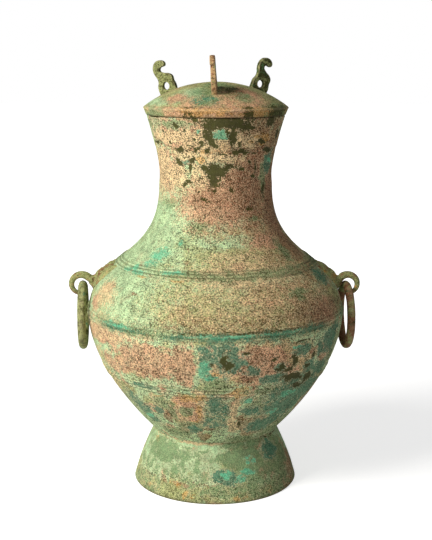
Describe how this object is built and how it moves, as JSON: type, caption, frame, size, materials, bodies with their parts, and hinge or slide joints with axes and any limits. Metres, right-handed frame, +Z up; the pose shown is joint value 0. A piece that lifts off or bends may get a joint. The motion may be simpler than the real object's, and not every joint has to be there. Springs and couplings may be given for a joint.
{
  "type": "archaistic bronze vase",
  "caption": "Lidded baluster vase of cast bronze on a flaring foot, with ribbed bands, mask handles holding loose rings, and curled finials on its domed lid.",
  "frame": {"origin": "middle of the foot's underside, on the vase's axis", "axes": "+Z up the vase's axis, +X towards the right handle, the front finial of the lid faces -Y"},
  "size_m": [0.3092, 0.271, 0.4504],
  "materials": {
    "vessel_bronze": "matt mineral crust of mint, olive, pink and teal patina",
    "lid_bronze": "matt olive-tan crust with green patches",
    "finial_bronze": "worn dull green",
    "mask_bronze": "dull olive with brown and ochre recesses",
    "ring_bronze": "olive brown, worn smoother on the outside"
  },
  "bodies": {
    "vase": {"vessel": "vessel_bronze", "lid": "lid_bronze", "finial_front": "finial_bronze", "finial_left": "finial_bronze", "finial_right": "finial_bronze", "mask_left": "mask_bronze", "mask_right": "mask_bronze"},
    "left_ring": {"ring_left": "ring_bronze"},
    "right_ring": {"ring_right": "ring_bronze"}
  },
  "joints": [
    {"name": "left_ring_swing", "type": "hinge", "parent": "vase", "child": "left_ring", "pos_m": [-0.14006, 0, 0.2119], "axis": [0, 1, 0], "range_deg": [-6, 215]},
    {"name": "right_ring_swing", "type": "hinge", "parent": "vase", "child": "right_ring", "pos_m": [0.14006, 0, 0.2091], "axis": [0.0175, -0.9998, 0], "range_deg": [-6, 215]}
  ]
}
